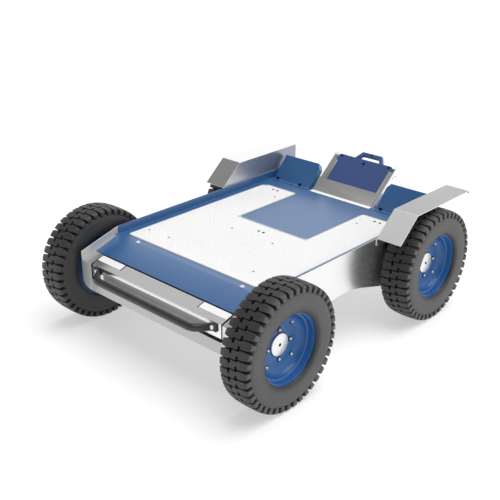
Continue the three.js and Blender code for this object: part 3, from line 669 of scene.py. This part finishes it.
def add_wheels():
    low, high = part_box("tyre_front_left")
    tyre = tyre_mesh((high[2] - low[2]) / 2)
    for corner in CORNERS:
        body = f"wheel_{corner}"
        centre = middle(f"tyre_{corner}")
        side = 1 if centre.x > 0 else -1
        rim = Solid().add(*turned(RIM_SECTION, RIM_SEGMENTS))
        disc = Solid().add(*turned(DISC_SECTION, RIM_SEGMENTS))
        cap = Solid().add(*turned(HUB_CAP_SECTION, CAP_SEGMENTS))
        heads = on_bolt_circles(screw_head(*BOLT_HEAD))
        bolt_shadows = on_bolt_circles(round_plate(*BOLT_SHADOW))
        pieces = [
            set_in(f"tyre_{corner}_treaded", tyre.copy(), "tyre_rubber", body,
                   (f"tyre_{corner}",)),
            make(f"rim_{corner}_pressed", rim, "wheel_blue", body, stands_for=(f"rim_{corner}",),
                 sharp=PRESSED_ANGLE),
            make(f"rim_disc_{corner}_dished", disc, "wheel_blue", body, stands_for=(f"rim_disc_{corner}",),
                 sharp=PRESSED_ANGLE),
            make(f"hub_cap_{corner}_turned", cap, "cap_metal", body, stands_for=(f"hub_cap_{corner}",)),
            make(f"wheel_bolts_{corner}", heads, "cap_metal", body),
            # the dark discs under the bolts are painted shadow
            make(f"wheel_bolt_shadows_{corner}", bolt_shadows, "black_screw_and_painted_shade", body),
            make(f"hub_painted_shade_{corner}", hub_painted_shade(), "black_screw_and_painted_shade", body),
        ]
        for piece in pieces:
            place_on_wheel(piece, centre, side)
        rounded_copy(f"axle_{corner}", 0.0006)
        rounded_copy(f"bearing_block_{corner}", 0.0008)
        rounded_copy(f"gear_motor_{corner}", 0.0012)


# ------------------------------------------------------------------ deck

STUD_PITCH = 0.0072
STUD_HALF = 0.0032
STUD_TOP_HALF = 0.0029
STUD_HEIGHT = 0.0007
STUD_SINK = 0.0002          # how deep a stud's foot stands in the sheet
FIRST_STUD = 0.008          # distance of the first row from the sheet's front edge
EDGE_MARGIN = 0.006         # studs' middles keep this far from the sheet's side and rear edges
CORNER_MARGIN = 0.024       # and this far in from both at its rounded rear corners
SHEET_CORNER = 0.016
DECK_CUT_HALF = 0.157       # the sheet is cut out round the blue rear field
DECK_CUT_FRONT = 0.01025
TRAY_DROP = 0.0018          # from the sheet's top to the tray beside it
BAND_SCREW_X = 0.243
BAND_SCREW_Y = -0.394
WASHER = (0.0075, 0.0012)   # radius and height
BAND_SCREW = (0.0055, 0.004)
SHEET_SCREWS = ((0.297, -0.297), (0.197, -0.295), (0.095, -0.092), (0.195, 0.244))      # on both sides
SHEET_SCREW = (0.0034, 0.0008)
SCREW_PAIRS = ((0, -0.045), (-0.243, 0.3015), (0.243, 0.3015))
PAIR_HALF = 0.011
PAIR_SCREW = (0.0050, 0.0008)


def sheet_outline(low, high):
    x0, x1, y0, y1 = low[0], high[0], low[1], high[1]
    corners = [(x0, y0), (x1, y0), (x1, y1), (DECK_CUT_HALF, y1), (DECK_CUT_HALF, DECK_CUT_FRONT),
               (-DECK_CUT_HALF, DECK_CUT_FRONT), (-DECK_CUT_HALF, y1), (x0, y1)]
    r = SHEET_CORNER
    return rounded(corners, [r, r, 2 * r, r, r, r, r, 2 * r])


def stud_places(low, high):
    """Middles of the studs, on a square grid that leaves out the sheet's cut-out and its edges."""
    columns = int((high[0] - low[0] - 2 * SHEET_CORNER) / STUD_PITCH)
    rows = int((high[1] - low[1]) / STUD_PITCH)
    for i in range(-columns // 2 - 1, columns // 2 + 2):
        for j in range(rows):
            x, y = i * STUD_PITCH, low[1] + FIRST_STUD + j * STUD_PITCH
            in_cut = abs(x) < DECK_CUT_HALF + STUD_PITCH and y > DECK_CUT_FRONT - STUD_PITCH
            past_edge = abs(x) > high[0] - EDGE_MARGIN or y > high[1] - EDGE_MARGIN
            in_corner = abs(x) > high[0] - CORNER_MARGIN and y > high[1] - CORNER_MARGIN
            if not (in_cut or past_edge or in_corner):
                yield x, y


def add_anti_slip_sheet():
    low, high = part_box("anti_slip_sheet")
    base = high[2] - STUD_HEIGHT
    solid = Solid().add(*prism(sheet_outline(low, high), low[2], base))
    for x, y in stud_places(low, high):
        points = [(x + a * half, y + b * half, z)
                  for half, z in ((STUD_HALF, base - STUD_SINK), (STUD_TOP_HALF, high[2]))
                  for a, b in ((-1, -1), (1, -1), (1, 1), (-1, 1))]
        solid.add(points, prism_faces(4))
    make("anti_slip_sheet_studded", solid, "white_grip", "chassis", stands_for=("anti_slip_sheet",))


def add_deck_fasteners():
    up = (0, 0, 1)
    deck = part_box("anti_slip_sheet")[1][2]
    tray = deck - TRAY_DROP
    radius, thickness = WASHER
    silver = Solid()
    for x in (-BAND_SCREW_X, BAND_SCREW_X):
        washer = turned([(0, 0), (radius, 0), (radius, thickness), (0, thickness)], SCREW_SEGMENTS)
        silver.add(*moved(washer, (x, BAND_SCREW_Y, tray), up))
        silver.add(*moved(screw_head(*BAND_SCREW), (x, BAND_SCREW_Y, tray + thickness), up))
    make("deck_band_screws", silver, "cap_metal", "chassis")
    dark = Solid()
    for x, y in SHEET_SCREWS:
        for side in (-1, 1):
            dark.add(*moved(round_plate(*SHEET_SCREW), (side * x, y, deck - STUD_SINK), up))
    for x, y in SCREW_PAIRS:
        for step in (-PAIR_HALF, PAIR_HALF):
            dark.add(*moved(round_plate(*PAIR_SCREW), (x + step, y, deck - STUD_SINK), up))
    make("deck_sheet_screws", dark, "black_screw_and_painted_shade", "chassis")


# ------------------------------------------------------------------ chassis and covers

RECESS_TOP = 0.25       # the stamped recess in the drawer's face ends at this height
RECESS_HALF = 0.25


def faces_up(centre, normal):
    return normal.z > 0.95


def faces_mostly_up(centre, normal):
    return normal.z > 0.85


def faces_slope(centre, normal):
    return normal.y < -0.3 and normal.z > 0.3


def faces_right(centre, normal):
    return normal.x > 0.9


def faces_nose(centre, normal):
    return normal.y < -0.9


def in_recess(centre, normal):
    tilted = normal.y < -0.05 and abs(normal.z) > 0.05
    return tilted and centre.z < RECESS_TOP and abs(centre.x) < RECESS_HALF


# Node, width of its rounded edges, and patches of other finishes, which paint light and shade on the faces
# they cover.
SHEET_METAL = [
    ("deck_tray", 0.0007, ()),
    # painted shade on the left side plate's inner face
    ("left_side_plate", 0.0007, (("silver_matte_painted_shade", faces_right),)),
    ("right_side_plate", 0.0007, ()),
    # painted reflection on the nose faces, and painted shade: a darker silver on the faces that point up
    ("front_frame", 0.0007, (("nose_sheet_painted_reflection", faces_nose), ("silver_mid", faces_mostly_up))),
    ("rear_wall", 0.0007, ()),
    ("floor_pan", 0.0006, ()),
    ("front_cross_member", 0.0008, ()),
    ("rear_cross_member", 0.0008, ()),
    # painted shade on the left guard's sloping faces, and painted reflection on its inner wall
    ("left_fender", 0.0009, (("silver_mid", faces_slope), ("guard_wall_painted_reflection", faces_right))),
    # painted shade: darker tones on the right guard's top and sloping faces
    ("right_fender", 0.0009, (("guard_top_painted_shade", faces_up), ("guard_slope_painted_shade", faces_slope))),
    ("left_cover", 0.0010, ()),
    ("right_cover", 0.0010, ()),
    # painted highlight on the dock face plate's faces that point up
    ("dock_face_plate", 0.0006, (("bright_fold", faces_up),)),
    ("battery_dock", 0.0006, ()),
    ("left_cheek_plate", 0.0007, ()),
    ("right_cheek_plate", 0.0007, ()),
    ("dock_tie_plate", 0.0007, ()),
    # painted shade in the drawer's stamped recess
    ("drawer_front", 0.0007, (("silver_matte_painted_shade", in_recess),)),
    ("drawer_tray", 0.0006, ()),
    ("drawer_runner_left", 0.0006, ()),
    ("drawer_runner_right", 0.0006, ()),
]
# Node, width of its rounded edges, and its finish if not its own.
MOULDED = [
    ("control_box", 0.004, None),
    ("front_motor_controller", 0.002, None),
    ("rear_motor_controller", 0.002, None),
    ("battery_socket", 0.0015, None),
    ("battery_case", 0.0005, None),
    ("battery_handle", 0.005, None),
    ("pull_bar_bolt_left", 0.0006, "cap_metal"),
    ("pull_bar_bolt_right", 0.0006, "cap_metal"),
]


def add_carried_over():
    for node, bevel, patches in SHEET_METAL:
        rounded_copy(node, bevel, patches=patches)
    for node, bevel, finish in MOULDED:
        rounded_copy(node, bevel, finish, segments=4)
    rounded_copy("battery_cap", 0.0006, segments=3, patches=(("battery_blue", faces_slope),))


# ------------------------------------------------------------------ dock, covers and battery

class Slope:
    """Places on a sloping plate, by distance up from its foot and out from its face."""

    def __init__(self, node, angle, length, depth):
        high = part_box(node)[1]
        self.along = Vector((0, math.cos(angle), math.sin(angle)))
        self.out = Vector((0, -math.sin(angle), math.cos(angle)))
        top = Vector((0, high[1] - depth * math.sin(angle), high[2]))
        self.foot = top - self.along * length

    def at(self, x, up, out=0.0):
        return Vector((x, 0, 0)) + self.foot + self.along * up + self.out * out

    def slab(self, x0, x1, up0, up1, out0, out1):
        points = [self.at(x, up, out) for out in (out0, out1)
                  for x, up in ((x0, up0), (x1, up0), (x1, up1), (x0, up1))]
        return points, prism_faces(4)


DOCK = Slope("dock_face_plate", math.radians(39.9), 0.173, 0.002)
COVER = Slope("left_cover", math.radians(46.5), 0.1213, 0.028)
COVER_BOLTS_X = (-0.323, -0.207, 0.181, 0.297)
COVER_BOLT_UP = 0.0135
COVER_BOLT = (0.0066, 0.0030)           # radius and height
LIP_X = (0.1412, 0.1354)                # folded edges of the dock's face plate
LIP_UP = (0.009, 0.1728)
LIP_OUT = (0.0, 0.0004)
RAIL = (-0.1206, -0.1192, 0.074, 0.166, -0.008, -0.0035)
BATTERY_FACE = -0.004                   # the battery's face, from the dock plate's face
BATTERY_SCREWS = ((-0.111, 0.190), (0.111, 0.190), (0.0, 0.178))
BATTERY_SCREW = (0.0054, 0.0016)
HANDLE_SCREW = (0.0046, 0.0014)
HANDLE_SCREW_UP = 0.231
HANDLE_FACE = -0.0200
CHEEK_SCREWS = ((0.529, 0.3960), (0.545, 0.3986))       # Y and Z
CHEEK_SCREW = (0.0022, 0.0006)


def add_dock_details():
    bolts = Solid()
    for x in COVER_BOLTS_X:
        bolts.add(*moved(screw_head(*COVER_BOLT), COVER.at(x, COVER_BOLT_UP), COVER.out))
    make("cover_bolts", bolts, "black_screw_and_painted_shade", "chassis")
    lips = Solid()
    for side in (-1, 1):
        x0, x1 = sorted(side * x for x in LIP_X)
        lips.add(*DOCK.slab(x0, x1, *LIP_UP, *LIP_OUT))
    make("dock_lips", lips, "silver_mid", "chassis")
    rail = Solid().add(*DOCK.slab(*RAIL))
    make("dock_rail", rail, "bright_fold", "chassis")
    screws = Solid()
    for x, up in BATTERY_SCREWS:
        screws.add(*moved(screw_head(*BATTERY_SCREW), DOCK.at(x, up, BATTERY_FACE), DOCK.out))
    screws.add(*moved(screw_head(*HANDLE_SCREW), DOCK.at(0, HANDLE_SCREW_UP, HANDLE_FACE), DOCK.out))
    make("battery_screws", screws, "black_screw_and_painted_shade", BODY_OF["battery_case"])
    marks = Solid()
    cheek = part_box("right_cheek_plate")[1]
    for y, z in CHEEK_SCREWS:
        marks.add(*moved(round_plate(*CHEEK_SCREW), (cheek[0], y, z), (1, 0, 0)))
    make("cheek_screws", marks, "black_screw_and_painted_shade", "chassis")


# ------------------------------------------------------------------ tail

PLATE_HALF = 0.150              # the service plate on the rear wall
PLATE_HEIGHTS = (0.215, 0.285)
PLATE_THICKNESS = 0.0015
PLATE_CORNER = 0.008
PLATE_SCREW = (0.0038, 0.0026)  # radius and height
PLATE_SCREW_MARGIN = 0.009
WALL_SCREW = (0.0045, 0.0030)
WALL_SCREWS_X = (0.335, 0.205)
WALL_SCREW_MARGIN = 0.014


def add_tail_details():
    rear = (0, 1, 0)
    low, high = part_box("rear_wall")
    z0, z1 = PLATE_HEIGHTS
    corners = [(-PLATE_HALF, z0), (PLATE_HALF, z0), (PLATE_HALF, z1), (-PLATE_HALF, z1)]
    points, faces = prism(rounded(corners, [PLATE_CORNER] * 4), 0.0, PLATE_THICKNESS)
    plate = Solid().add([(x, high[1] + lift, z) for x, z, lift in points], faces)
    make("rear_service_plate", plate, "steel", "chassis", bevel=0.0004)
    screws = Solid()
    for side in (-1, 1):
        for x in WALL_SCREWS_X:
            for z in (low[2] + WALL_SCREW_MARGIN, high[2] - WALL_SCREW_MARGIN):
                screws.add(*moved(screw_head(*WALL_SCREW), (side * x, high[1], z), rear))
        for z in (z0 + PLATE_SCREW_MARGIN, z1 - PLATE_SCREW_MARGIN):
            place = (side * (PLATE_HALF - PLATE_SCREW_MARGIN), high[1] + PLATE_THICKNESS, z)
            screws.add(*moved(screw_head(*PLATE_SCREW), place, rear))
    make("rear_wall_screws", screws, "black_paint", "chassis")


# ------------------------------------------------------------------ nose

# The pull bar is a round bar, bent twice at each end and pressed flat into a tab on the drawer's face. Depths
# are in front of that face, and other places are distances from the bar's middle.
BAR_R = 0.0125
BAR_DEPTH = 0.0450
BAR_Z = 0.2420
BAR_STRAIGHT = 0.2080
BAR_TURN = math.radians(43.5)
BAR_BEND_R = 0.0396
TAB_BEND_R = 0.0205
TAB_DEPTH = 0.0036
TAB_Z = 0.2460
TAB_END = 0.2868
TAB_CHAMFER = 0.0009
TAB_HALF_THICK = 0.0030
TAB_HALF_TALL = 0.0129
TAB_SQUARENESS = 6.0
FLATTENED = (0.2325, 0.2745)
BEND_STEPS = 6
SLOPE_STEPS = 4
BAR_FACETS = 24


def bar_path():
    """The right half of the bar's middle line, as places (distance from the middle, depth)."""
    places = [(0.0, BAR_DEPTH)]
    for i in range(BEND_STEPS + 1):
        turn = BAR_TURN * i / BEND_STEPS
        depth = BAR_DEPTH - BAR_BEND_R * (1 - math.cos(turn))
        places.append((BAR_STRAIGHT + BAR_BEND_R * math.sin(turn), depth))
    bend_x, bend_depth = places[-1]
    slope_depth = TAB_DEPTH + TAB_BEND_R * (1 - math.cos(BAR_TURN))
    slope_x = bend_x + (bend_depth - slope_depth) / math.tan(BAR_TURN)
    for i in range(1, SLOPE_STEPS):
        share = i / SLOPE_STEPS
        depth = bend_depth + (slope_depth - bend_depth) * share
        places.append((bend_x + (slope_x - bend_x) * share, depth))
    tab_x = slope_x + TAB_BEND_R * math.sin(BAR_TURN)
    for i in range(BEND_STEPS, -1, -1):
        turn = BAR_TURN * i / BEND_STEPS
        places.append((tab_x - TAB_BEND_R * math.sin(turn), TAB_DEPTH + TAB_BEND_R * (1 - math.cos(turn))))
    return places + [(TAB_END - TAB_CHAMFER, TAB_DEPTH), (TAB_END, TAB_DEPTH)]


def bar_section(x):
    """Height of the middle line, half thickness, half height and squareness at a distance from the middle."""
    share = min(max((abs(x) - FLATTENED[0]) / (FLATTENED[1] - FLATTENED[0]), 0.0), 1.0)
    share = share * share * (3 - 2 * share)
    chamfer = TAB_CHAMFER if abs(x) == TAB_END else 0.0
    return (BAR_Z + (TAB_Z - BAR_Z) * share,
            BAR_R + (TAB_HALF_THICK - BAR_R) * share - chamfer,
            BAR_R + (TAB_HALF_TALL - BAR_R) * share - chamfer,
            2.0 + (TAB_SQUARENESS - 2.0) * share ** 3)


def add_pull_bar():
    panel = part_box("drawer_front")[0][1]
    right = bar_path()
    path = [(-x, depth) for x, depth in reversed(right[1:])] + right
    centres = [Vector((x, panel - depth, bar_section(x)[0])) for x, depth in path]
    points, faces = [], []
    for i, (x, depth) in enumerate(path):
        thick, tall, square = bar_section(x)[1:]
        along = centres[min(i + 1, len(centres) - 1)] - centres[max(i - 1, 0)]
        across = Vector((along.y, -along.x, 0)).normalized()
        for k in range(BAR_FACETS):
            angle = 2 * math.pi * k / BAR_FACETS
            c, n = math.cos(angle), math.sin(angle)
            wide = math.copysign(abs(c) ** (2 / square), c) * thick
            high = math.copysign(abs(n) ** (2 / square), n) * tall
            points.append(centres[i] + across * wide + Vector((0, 0, high)))
        if i:
            a, b = BAR_FACETS * (i - 1), BAR_FACETS * i
            for k in range(BAR_FACETS):
                n = (k + 1) % BAR_FACETS
                faces.append((a + k, a + n, b + n, b + k))
    faces.append(tuple(range(BAR_FACETS)))
    faces.append(tuple(reversed(range(BAR_FACETS * (len(path) - 1), BAR_FACETS * len(path)))))
    bar = Solid().add(points, faces)
    make("pull_bar_swept", bar, "black_paint", BODY_OF["pull_bar"],
         stands_for=("pull_bar",), sharp=PRESSED_ANGLE)


FLANGE_RISE = 0.315         # slope of the drawer's flange
FLANGE_GAP = 0.0003         # the flaps end this far before the flange does
FLAP_SIDE_GAP = 0.0004
FLAP_THICKNESS = 0.0005
SLIT_X = 0.183
SLIT_HALF = 0.0020
SLIT_LENGTH = 0.024
SLIT_PAST = 0.002           # a slit ends this far in front of the flap beside it
SLIT_THICKNESS = 0.0004
FLANGE_CLEAR = 0.00005      # height of their undersides over the flange


def add_drawer_flaps():
    """Bright folded ends of the drawer's flange, and dark strips where the slits that set them off are, as
    painted shade in the slits.
    """
    low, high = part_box("drawer_front")

    def on_flange(x0, x1, y0, y1, thickness):
        corners = ((x0, y0), (x1, y0), (x1, y1), (x0, y1))
        points = [(x, y, high[2] + FLANGE_RISE * (y - high[1]) + lift)
                  for lift in (FLANGE_CLEAR, thickness) for x, y in corners]
        return points, prism_faces(4)

    flaps, slits = Solid(), Solid()
    y0, y1 = high[1] - SLIT_LENGTH, high[1] - FLANGE_GAP
    for side in (-1, 1):
        x0, x1 = sorted((side * (SLIT_X + SLIT_HALF), side * (high[0] - FLAP_SIDE_GAP)))
        flaps.add(*on_flange(x0, x1, y0, y1, FLAP_THICKNESS))
        # painted shade in the slit: a dark strip laid on the flange
        x0, x1 = side * SLIT_X - SLIT_HALF, side * SLIT_X + SLIT_HALF
        slits.add(*on_flange(x0, x1, y0 - SLIT_PAST, y1, SLIT_THICKNESS))
    make("drawer_flange_ends", flaps, "bright_fold", BODY_OF["drawer_front"])
    make("drawer_flange_slit_shade", slits, "black_screw_and_painted_shade", BODY_OF["drawer_front"])


add_wheels()
add_anti_slip_sheet()
add_deck_fasteners()
add_carried_over()
add_dock_details()
add_tail_details()
add_pull_bar()
add_drawer_flaps()

FLOOR_HALF = 60

floor_mesh = bpy.data.meshes.new("floor")
floor_corners = [(a * FLOOR_HALF, b * FLOOR_HALF, 0) for a, b in ((-1, -1), (1, -1), (1, 1), (-1, 1))]
floor_mesh.from_pydata(floor_corners, [], [(0, 1, 2, 3)])
floor_mesh.materials.append(MATERIALS["floor"])
floor = bpy.data.objects.new("floor", floor_mesh)
bpy.context.collection.objects.link(floor)

bpy.context.view_layer.update()
